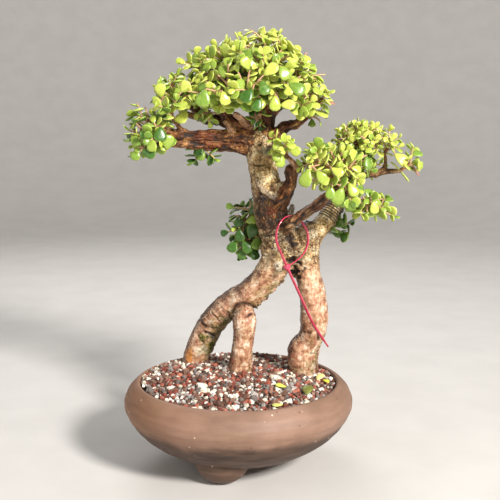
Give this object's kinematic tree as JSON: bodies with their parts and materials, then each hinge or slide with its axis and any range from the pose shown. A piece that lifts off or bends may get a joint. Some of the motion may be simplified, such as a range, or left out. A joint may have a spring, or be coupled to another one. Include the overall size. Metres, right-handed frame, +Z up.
{
  "type": "dwarf jade bonsai",
  "caption": "Small succulent bonsai tree with a dense leafy crown and side branch on stilt-like legs, growing in grit in a round clay bowl on feet.",
  "frame": {"origin": "on the table, under the middle of the plant's bounding box", "axes": "+Z up along the pot's axis, -Y towards the front of the bonsai, +X towards the lower side branch"},
  "size_m": [0.2556, 0.1994, 0.3781],
  "materials": {
    "clay": "matte unglazed fired clay with faint throwing lines",
    "screen": "moulded plastic drainage mesh",
    "grit": "dry mixed grit of pale pumice, red lava and grey and dark stone",
    "bark": "wrinkled matte bark with dark flecks, redder on the branches",
    "leaf": "smooth succulent leaf with a soft gloss, on pink-brown stems",
    "old_leaf": "yellowing shed leaf",
    "tie": "glossy red moulded nylon",
    "wire": "dull weathered soft wire"
  },
  "bodies": {
    "root": {"pot": "clay", "drain_screen": "screen", "grit": "grit", "tree": "bark", "spray_crown_top": "leaf", "spray_crown_top_right": "leaf", "spray_crown_top_left": "leaf", "spray_crown_high_front": "leaf", "spray_crown_high_back": "leaf", "spray_crown_front_mid": "leaf", "spray_crown_front_right": "leaf", "spray_crown_right_low": "leaf", "spray_crown_right_tip": "leaf", "spray_crown_right_high": "leaf", "spray_crown_right_back": "leaf", "spray_crown_left_front": "leaf", "spray_crown_left_low": "leaf", "spray_crown_left_high": "leaf", "spray_crown_left_far": "leaf", "spray_crown_left_back": "leaf", "spray_crown_edge_high": "leaf", "spray_crown_edge_low": "leaf", "spray_crown_edge_back": "leaf", "spray_crown_back_left": "leaf", "spray_crown_back_mid": "leaf", "spray_crown_back_right": "leaf", "spray_left_tip_high": "leaf", "spray_left_tip_low": "leaf", "spray_left_tip_front": "leaf", "spray_left_tip_back": "leaf", "spray_left_bud": "leaf", "spray_left_hanging": "leaf", "spray_right_bud": "leaf", "spray_right_front": "leaf", "spray_right_front_high": "leaf", "spray_right_front_low": "leaf", "spray_right_middle": "leaf", "spray_right_hanging": "leaf", "spray_right_top_left": "leaf", "spray_right_top": "leaf", "spray_right_top_right": "leaf", "spray_right_edge": "leaf", "spray_right_tip": "leaf", "spray_right_back": "leaf", "spray_right_back_far": "leaf", "spray_low_right": "leaf", "spray_low_right_tip": "leaf", "spray_trunk_back": "leaf", "spray_trunk_back_low": "leaf", "spray_trunk_back_right": "leaf", "spray_right_side": "leaf", "cable_tie": "tie", "training_wire": "wire", "fallen_leaf_1": "old_leaf", "fallen_leaf_2": "old_leaf", "fallen_leaf_3": "old_leaf", "fallen_leaf_4": "old_leaf", "fallen_leaf_5": "old_leaf"}
  },
  "joints": []
}
